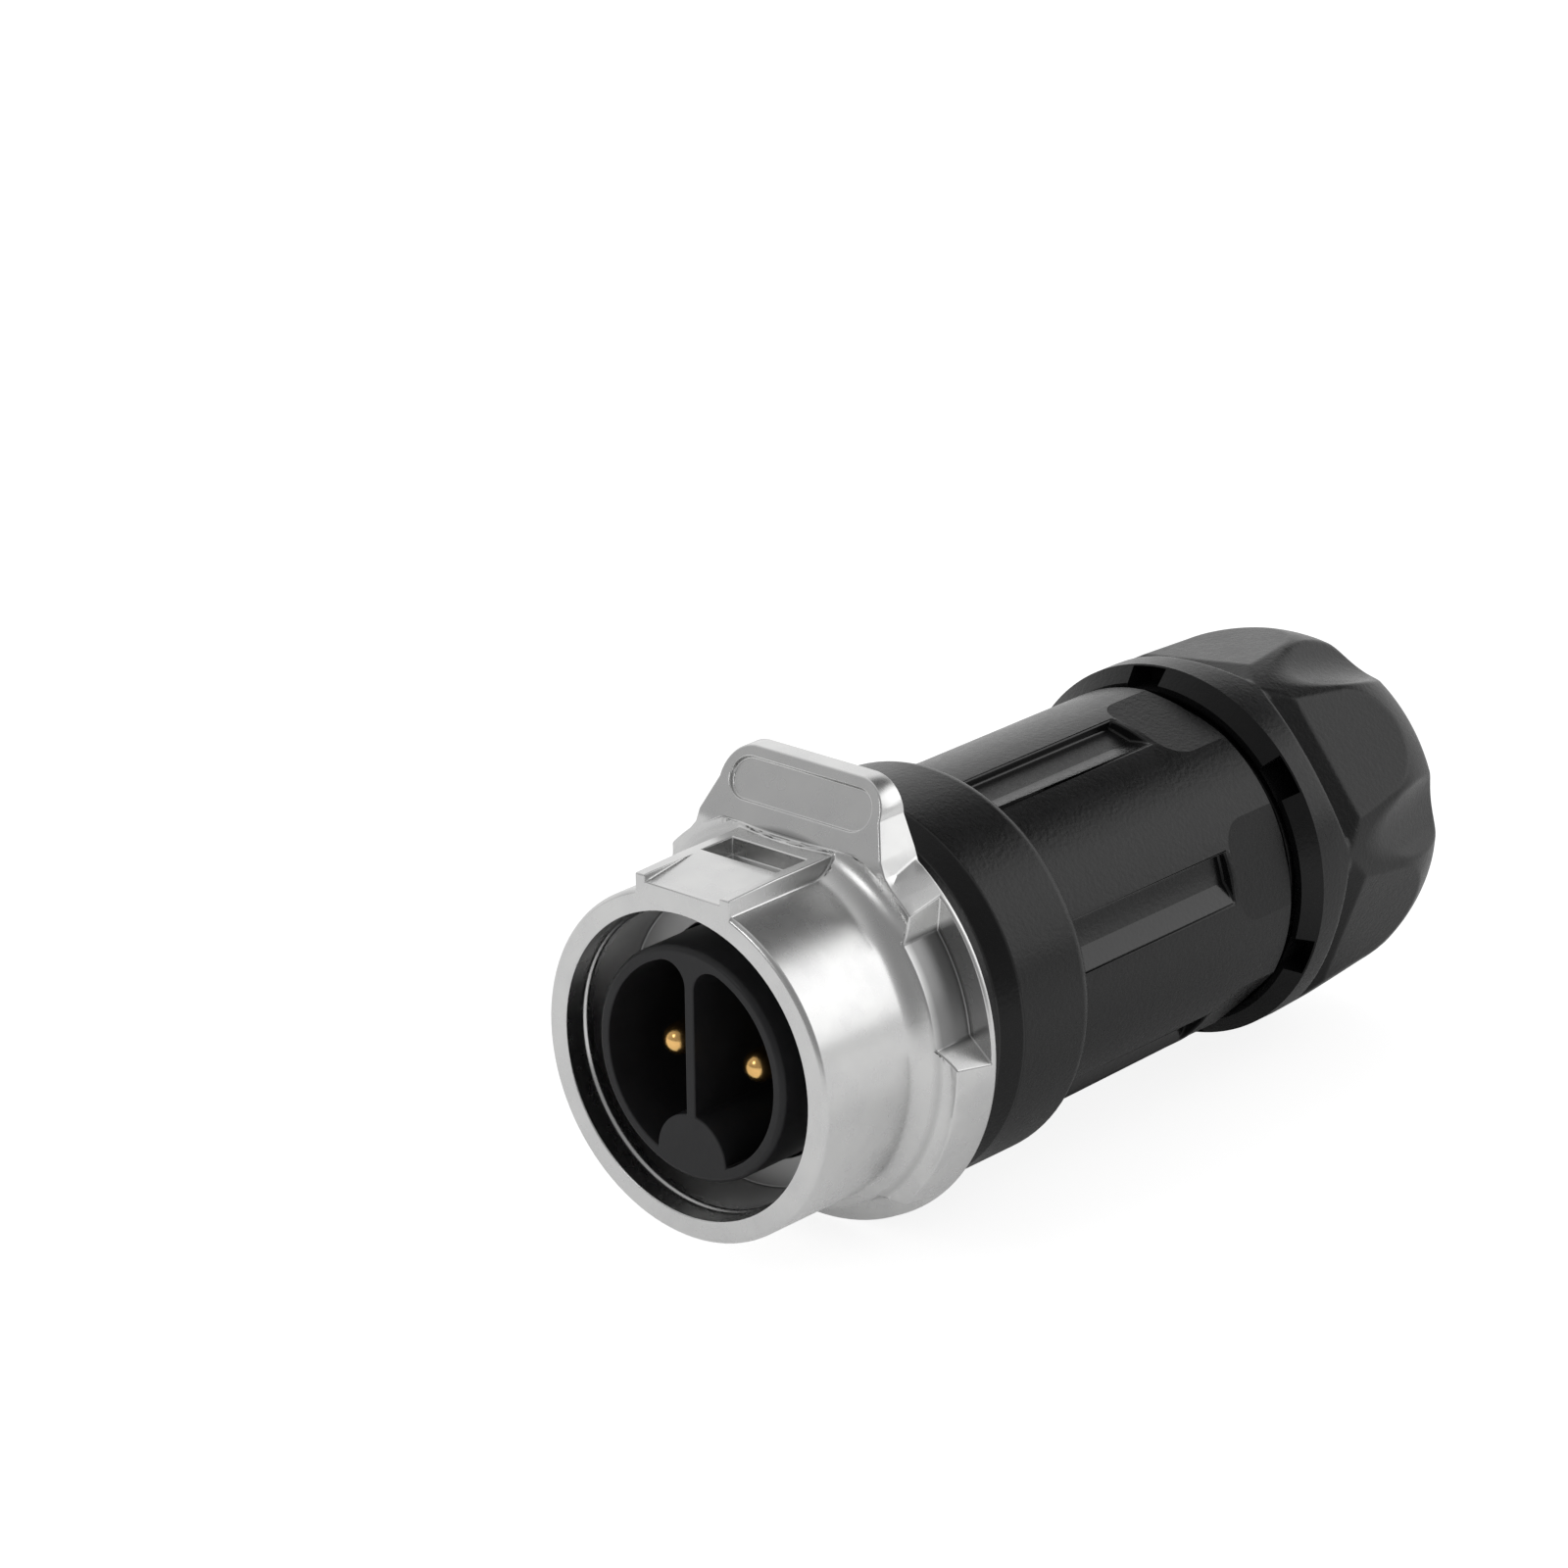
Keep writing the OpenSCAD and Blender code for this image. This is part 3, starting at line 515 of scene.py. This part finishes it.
class NutShape:
    """Outline and outside of the gland nut.

    steps are the parts in which one flat's share is spun, rim_steps those of the rear rounding,
    and fine is the distance between points along the outside."""

    steps = 96
    rim_steps = 14
    fine = 0.16 * MM

    def __init__(self, nut):
        self.nut = nut
        low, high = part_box("gland_nut")
        self.front, self.rear = low.x, high.x
        self.ring_end = self.front + nut.ring_length
        self.flat_x = self.front + nut.flat_start
        self.dome_x = self.front + nut.dome_start

    def body(self):
        """Points from the ring over the dome to the rear face, before flats and valleys are cut."""
        nut = self.nut
        dome = Vector((self.dome_x, nut.lobe_radius - nut.dome_radius))
        reach = nut.dome_radius - nut.rim_radius
        rim_x = self.rear - nut.rim_radius
        meet = math.acos((rim_x - dome.x) / reach)
        rim = dome + reach * Vector((math.cos(meet), math.sin(meet)))
        count = round((self.dome_x - self.ring_end) / self.fine)
        ends = Vector((self.ring_end, nut.ring_radius)), Vector((self.dome_x, nut.lobe_radius))
        cone = [ends[0].lerp(ends[1], step / count) for step in range(count)]
        dome_steps = round((math.pi / 2 - meet) * nut.dome_radius / self.fine)
        return (cone + arc(dome, nut.dome_radius, math.pi / 2, meet, dome_steps)[:-1]
                + arc(rim, nut.rim_radius, meet, 0.0, self.rim_steps))

    def outline(self):
        """The closed outline that is spun: front face, ring, body, rear face and bore."""
        nut = self.nut
        face = nut.ring_radius - nut.ring_bevel
        lip = nut.ring_bevel - nut.pocket_wall
        front = [(0.0, nut.bore_radius + nut.bore_mouth), (0.0, face), (lip, face + lip),
                 (nut.ring_bevel, nut.ring_radius)]
        rear = self.rear - self.front
        bore = [(rear, nut.hole_radius), (rear - nut.rear_wall, nut.hole_radius),
                (rear - nut.rear_wall, nut.cone_radius), (nut.seat_end, nut.seat_radius),
                (nut.bore_end, nut.seat_radius), (nut.bore_end, nut.bore_radius),
                (nut.bore_mouth, nut.bore_radius)]
        shift = Vector((self.front, 0.0))
        front, bore = ([shift + Vector(point) for point in points] for points in (front, bore))
        return front + self.body() + bore

    def cut(self, x, radius, turn):
        """Radius that flat and valley leave of a blank, at a station and an angle from the flat's middle."""
        nut = self.nut
        foot = nut.flat_radius - nut.foot_depth
        foot_x = self.flat_x - nut.ramp_length
        brim = nut.ring_radius + nut.soft * 2
        wall = brim - (x - self.ring_end) * (brim - foot) / (foot_x - self.ring_end)
        flat = nut.flat_radius + (x - self.flat_x) * math.tan(nut.flat_tilt)
        ramp = min(foot + (x - foot_x) * nut.foot_depth / nut.ramp_length, flat)
        plane = -smooth_min(-wall, -ramp, nut.soft)
        climbed = min(max((x - foot_x) / nut.ramp_length, 0.0), 1.0)
        radius = smooth_min(radius, plane / math.cos(turn), nut.soft + (nut.crisp - nut.soft) * climbed)
        aside = math.pi / nut.flats - abs(turn)
        bottom = nut.lobe_radius - (x - self.front - nut.valley_start) * math.tan(nut.valley_slope)
        middle = bottom + nut.valley_radius
        chord = nut.valley_radius ** 2 - (middle * math.sin(aside)) ** 2
        if chord > 0.0:
            radius = smooth_min(radius, middle * math.cos(aside) - math.sqrt(chord), nut.soft)
        return radius

    def angle(self, place):
        """Angle of a place round the axis from the nearest flat."""
        pitch = math.tau / self.nut.flats
        return (math.atan2(-place.y, place.z) - self.nut.turn + pitch / 2) % pitch - pitch / 2

    def mesh(self):
        """The nut as a mesh: one flat's share is spun, cut and pocketed, and then repeated."""
        nut = self.nut
        pitch = math.tau / nut.flats
        bm = bmesh.new()
        start = nut.turn - pitch / 2
        up = Vector((-math.sin(start), math.cos(start)))
        verts = [bm.verts.new((x, *(radius * up))) for x, radius in self.outline()]
        edges = [bm.edges.new(pair) for pair in zip(verts, verts[1:] + verts[:1])]
        bmesh.ops.spin(bm, geom=verts + edges, axis=(1, 0, 0), cent=(0, 0, 0), angle=pitch,
                       steps=self.steps)
        rim_x = self.rear - nut.rim_radius
        for vert in bm.verts:
            x, around = vert.co.x, vert.co.yz.length
            if x > self.ring_end and (around > nut.bore_radius or x > rim_x):
                vert.co.yz *= self.cut(x, around, self.angle(vert.co)) / around
        self.pockets(bm)
        share = [*bm.verts, *bm.edges, *bm.faces]
        for step in range(1, nut.flats):
            copy = bmesh.ops.duplicate(bm, geom=share)["geom"]
            bmesh.ops.rotate(bm, verts=[part for part in copy if isinstance(part, bmesh.types.BMVert)],
                             cent=(0, 0, 0), matrix=Matrix.Rotation(step * pitch, 3, "X"))
        bmesh.ops.remove_doubles(bm, verts=bm.verts, dist=WELD)
        bmesh.ops.recalc_face_normals(bm, faces=bm.faces)
        for edge in bm.edges:
            edge.smooth = edge.calc_face_angle(0.0) < NUT_CREASE
        return bm

    def pockets(self, bm):
        """Sinks the pockets into the front face."""
        nut = self.nut
        lip = nut.ring_bevel - nut.pocket_wall
        inner = nut.bore_radius + nut.bore_mouth
        faces = []
        for face in bm.faces:
            middle = face.calc_center_median()
            if (middle.x < self.front + lip and middle.yz.length > inner - SLACK
                    and abs(self.angle(middle)) < nut.pocket_half):
                faces.append(face)
        sunk = bmesh.ops.extrude_face_region(bm, geom=faces)["geom"]
        for vert in sunk:
            if isinstance(vert, bmesh.types.BMVert):
                vert.co.x = self.front + nut.pocket_depth
        bmesh.ops.delete(bm, geom=faces, context="FACES")


def add_thread(name, node, material, root, crest, start, end, pitch):
    """A helical ridge round the axis from one station to another."""
    bm = bmesh.new()
    per_turn = 96
    flank, tip = 0.40 * pitch, 0.10 * pitch
    first = start + flank
    turns = (end - flank - first) / pitch
    outline = ((first - flank, root), (first - tip, crest), (first + tip, crest), (first + flank, root))
    face = bm.faces.new([bm.verts.new((x, 0.0, r)) for x, r in outline])
    bmesh.ops.spin(bm, geom=[face, *face.edges, *face.verts], axis=(1, 0, 0), cent=(0, 0, 0),
                   dvec=(pitch / per_turn, 0, 0), angle=math.tau * turns, steps=round(per_turn * turns),
                   use_merge=False, use_duplicate=False)
    bmesh.ops.holes_fill(bm, edges=[edge for edge in bm.edges if edge.is_boundary])
    bmesh.ops.recalc_face_normals(bm, faces=bm.faces)
    return add_piece(name, bm, node, material)


class PieceOperator:
    """What the operators of the pieces share."""

    bl_options = {"REGISTER", "UNDO"}

    def props(self, context):
        return context.scene.socket_finish


class SOCKET_OT_front_shell(PieceOperator, bpy.types.Operator):
    """Plates the zinc shell"""

    bl_idname = "socket.front_shell"
    bl_label = "Front shell"

    def execute(self, context):
        props = self.props(context)
        soften("front_shell", zinc_finish(props), props.metal_edge)
        return {"FINISHED"}


class SOCKET_OT_contact_insert(PieceOperator, bpy.types.Operator):
    """Finishes the insert that holds the contacts"""

    bl_idname = "socket.contact_insert"
    bl_label = "Contact insert"

    def execute(self, context):
        props = self.props(context)
        soften("contact_insert", insulator_finish(props), props.metal_edge)
        return {"FINISHED"}


class SOCKET_OT_contacts(PieceOperator, bpy.types.Operator):
    """Plates the two pins and their screws"""

    bl_idname = "socket.contacts"
    bl_label = "Contacts"

    def execute(self, context):
        props = self.props(context)
        pin = turned_finish("gold_plate", props.gold, roughness=0.24, ring=0.12)
        screw = turned_finish("brass", props.brass, roughness=0.32, ring=0.2)
        for side in ("left", "right"):
            dress("contact_pin_" + side, pin)
            dress("terminal_screw_" + side, screw)
        return {"FINISHED"}


class SOCKET_OT_seals(PieceOperator, bpy.types.Operator):
    """Finishes the seals and the insert's clip"""

    bl_idname = "socket.seals"
    bl_label = "Seals and clip"

    def execute(self, context):
        props = self.props(context)
        rubber = rubber_finish(props)
        for seal in ("insert_seal", "body_seal", "gland_seal"):
            dress(seal, rubber)
        dress("insert_clip", steel_finish(props))
        return {"FINISHED"}


class SOCKET_OT_rear_body(PieceOperator, bpy.types.Operator):
    """Finishes the nylon barrel and its threads"""

    bl_idname = "socket.rear_body"
    bl_label = "Rear body"

    def execute(self, context):
        props = self.props(context)
        nylon = nylon_finish(props)
        low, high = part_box("rear_body")
        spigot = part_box("body_seal")
        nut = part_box("gland_nut")
        shell_crest, gland_crest = self.crests()
        depth = props.thread_depth
        sunk = 1.1 * depth

        def reshape(bm):
            for crest in (shell_crest, gland_crest):
                self.turn_down(bm, crest, crest - depth)
            self.widen_floors(bm, props)

        polished = nylon_finish(props, "polished_nylon", matt=0.6, gloss=1.6)
        soften("rear_body", nylon, props.nylon_edge, reshape, walls=(polished, spigot[1].x, nut[0].x),
               crisp_from=nut[0].x - props.thumb_reach)
        add_thread("shell_thread", "rear_body", nylon, shell_crest - sunk, shell_crest,
                   low.x, spigot[1].x, props.thread_pitch)
        add_thread("gland_thread", "rear_body", nylon, gland_crest - sunk, gland_crest,
                   nut[0].x - props.thread_pitch, high.x, props.thread_pitch)
        return {"FINISHED"}

    def turn_down(self, bm, crest, root):
        """Turns a threaded neck down to the thread's root."""
        for vert in bm.verts:
            around = vert.co.yz.length
            if abs(around - crest) < SLACK:
                vert.co.yz *= root / around

    def widen_floors(self, bm, props):
        """Moves the line where a grip groove's floor meets its slope."""
        for step in range(props.grooves):
            turn = props.groove_at + step * math.tau / props.grooves
            up = Vector((-math.sin(turn), math.cos(turn)))
            across = Vector((math.cos(turn), math.sin(turn)))
            line = Vector((props.groove_line, props.groove_floor))
            for vert in bm.verts:
                place = Vector((vert.co.yz.dot(across), vert.co.yz.dot(up)))
                if (place - line).length < 2 * SLACK:
                    vert.co.yz -= props.groove_shift * across

    def crests(self):
        """Radii of the spigot and of the neck, read near the ends of the body."""
        verts = [vert.co for vert in NODES["rear_body"].data.vertices]
        low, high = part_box("rear_body")
        spigot_end, neck_end = low.x + 0.1 * MM, high.x - 0.6 * MM
        spigot = max(co.yz.length for co in verts if co.x < spigot_end)
        neck = max(co.yz.length for co in verts if co.x > neck_end)
        return spigot, neck


class SOCKET_OT_gland(PieceOperator, bpy.types.Operator):
    """Finishes the gland's claw and nut"""

    bl_idname = "socket.gland"
    bl_label = "Gland claw and nut"

    def execute(self, context):
        props = self.props(context)
        nylon = nylon_finish(props)
        dress("gland_claw", nylon)
        nut = add_piece("soft_gland_nut", NutShape(context.scene.socket_nut).mesh(), "gland_nut", nylon)
        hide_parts("gland_nut")
        return {"FINISHED"}


def softbox(name, place, level):
    """An area lamp that looks at the middle of the socket; 1 is as bright as white paper."""
    toward, distance, size = place
    low, high = CAD_BOX
    aim = (low + high) / 2
    lamp = bpy.data.lights.new(name, "AREA")
    lamp.shape = "RECTANGLE"
    lamp.size, lamp.size_y = size
    lamp.energy = level * math.pi * size[0] * size[1]
    made = bpy.data.objects.new(name, lamp)
    bpy.context.scene.collection.objects.link(made)
    toward = Vector(toward).normalized()
    turn = toward.to_track_quat("Z", "Y").to_matrix().to_4x4()
    made.matrix_world = Matrix.Translation(aim + toward * distance) @ turn
    return made


def ray(tree, kind):
    """1 on rays of a kind."""
    path = tree.node("ShaderNodeLightPath").socket.node
    return Wire(tree, path.outputs[f"Is {kind} Ray"])


def toward(tree, middle, low, high):
    """0 where the view is farther from a direction than low says, 1 nearer than high, as cosines."""
    view = tree.node("ShaderNodeTexCoord")
    near = tree.node("ShaderNodeVectorMath", {"operation": "DOT_PRODUCT"},
                     {0: view, 1: Vector(middle).normalized()}, out=1)
    return tree.node("ShaderNodeMapRange", {"interpolation_type": "SMOOTHSTEP"},
                     {"Value": near, "From Min": low, "From Max": high})


def white_background(world, props):
    """White to the camera; to what mirrors it, white on one side, with a soft dark card."""
    world.use_nodes = True
    tree = Tree(world.node_tree)
    blend = 0.7
    side = toward(tree, props.bright_side, -blend, blend)
    card = toward(tree, props.card, math.cos(props.card_edge), math.cos(props.card_core))
    sky = (props.dim_level + side * (1.0 - props.dim_level)) * (1.0 - card * (1.0 - props.card_level))
    strength = tree.node("ShaderNodeMath", {"operation": "MAXIMUM"}, {0: ray(tree, "Camera"), 1: sky})
    light = tree.node("ShaderNodeBackground", None, {"Color": (1, 1, 1, 1), "Strength": strength})
    tree.node("ShaderNodeOutputWorld", None, {"Surface": light})


def floor_finish(props):
    """A pale floor that is white where it is lit and keeps the shadow of what stands on it."""
    tree = Finish("pale_floor")
    camera = ray(tree, "Camera")
    mirrored = ray(tree, "Glossy") + ray(tree, "Transmission")
    x, y, _ = tree.axes()
    start, width = props.shade_start / MM, props.shade_width / MM
    fade, core = 8.0, 0.25 * width
    white, seen_white = 0.9, 0.4
    aside = tree.node("ShaderNodeMath", {"operation": "ABSOLUTE"}, {0: y})
    shade = tree.ramp(x, start, start + fade) * (1.0 - tree.ramp(aside, core, width))
    strength = camera * props.floor + mirrored * props.floor_gloss * (1.0 - shade)
    matt = tree.node("ShaderNodeBsdfDiffuse", None, {"Color": white - camera * (white - seen_white)})
    glow = tree.node("ShaderNodeEmission", None, {"Color": (1, 1, 1, 1), "Strength": strength})
    both = tree.node("ShaderNodeAddShader", None, {0: matt, 1: glow})
    tree.node("ShaderNodeOutputMaterial", None, {"Surface": both})
    return tree.material


class SOCKET_OT_stage(bpy.types.Operator):
    """Sets the floor, the lamps, the background and the camera"""

    bl_idname = "socket.stage"
    bl_label = "Stage"
    bl_options = {"REGISTER", "UNDO"}

    def execute(self, context):
        props = context.scene.socket_stage
        self.floor(props)
        self.lamps(props)
        scene = context.scene
        scene.world = scene.world or bpy.data.worlds.new("studio")
        white_background(scene.world, props)
        scene.view_settings.view_transform = "Standard"
        scene.camera = self.camera(props)
        return {"FINISHED"}

    def floor(self, props):
        low, high = CAD_BOX
        middle = (low + high) / 2
        middle.z = low.z
        bm = bmesh.new()
        bmesh.ops.create_grid(bm, x_segments=1, y_segments=1, size=FLOOR_HALF)
        bmesh.ops.translate(bm, verts=bm.verts, vec=middle)
        mesh = bpy.data.meshes.new("floor")
        bm.to_mesh(mesh)
        bm.free()
        floor = bpy.data.objects.new("floor", mesh)
        mesh.materials.append(floor_finish(props))
        bpy.context.scene.collection.objects.link(floor)

    def lamps(self, props):
        softbox("side_softbox", SIDE_SOFTBOX, props.key)
        softbox("front_softbox", FRONT_SOFTBOX, props.front)
        softbox("back_softbox", BACK_SOFTBOX, props.back)

    def camera(self, props):
        back = Vector((math.sin(props.azimuth) * math.cos(props.elevation),
                       -math.cos(props.azimuth) * math.cos(props.elevation), math.sin(props.elevation)))
        right = Vector((math.cos(props.azimuth), math.sin(props.azimuth), 0.0))
        up = back.cross(right)
        across = math.cos(props.roll) * right + math.sin(props.roll) * up
        upward = math.cos(props.roll) * up - math.sin(props.roll) * right
        lens = bpy.data.cameras.new("camera")
        lens.sensor_width = SENSOR_WIDTH
        lens.lens = props.lens
        lens.clip_start = NEAR_CLIP
        camera = bpy.data.objects.new("camera", lens)
        bpy.context.scene.collection.objects.link(camera)
        turn = Matrix((across, upward, back)).transposed().to_4x4()
        place = props.distance * back + props.aside * across + props.above * upward
        camera.matrix_world = Matrix.Translation(place) @ turn
        return camera


class SOCKET_PT_sidebar(bpy.types.Panel):
    """Lists the pieces of the socket and its stage."""

    bl_idname = "SOCKET_PT_sidebar"
    bl_label = "Cable socket"
    bl_space_type = "VIEW_3D"
    bl_region_type = "UI"
    bl_category = "Cable socket"

    def draw(self, context):
        column = self.layout.column()
        for operator in OPERATORS:
            column.operator(operator.bl_idname)
        for group in (context.scene.socket_finish, context.scene.socket_nut, context.scene.socket_stage):
            for name in group.__annotations__:
                column.prop(group, name)


OPERATORS = (SOCKET_OT_front_shell, SOCKET_OT_contact_insert, SOCKET_OT_contacts, SOCKET_OT_seals,
             SOCKET_OT_rear_body, SOCKET_OT_gland, SOCKET_OT_stage)
CLASSES = (SocketFinish, SocketNut, SocketStage, *OPERATORS, SOCKET_PT_sidebar)


def register():
    for cls in CLASSES:
        bpy.utils.register_class(cls)
    bpy.types.Scene.socket_finish = PointerProperty(type=SocketFinish)
    bpy.types.Scene.socket_nut = PointerProperty(type=SocketNut)
    bpy.types.Scene.socket_stage = PointerProperty(type=SocketStage)


def unregister():
    del bpy.types.Scene.socket_stage
    del bpy.types.Scene.socket_nut
    del bpy.types.Scene.socket_finish
    for cls in reversed(CLASSES):
        bpy.utils.unregister_class(cls)


def main():
    register()
    for operator in OPERATORS:
        group, name = operator.bl_idname.split(".")
        getattr(getattr(bpy.ops, group), name)()


if __name__ == "__main__":
    main()
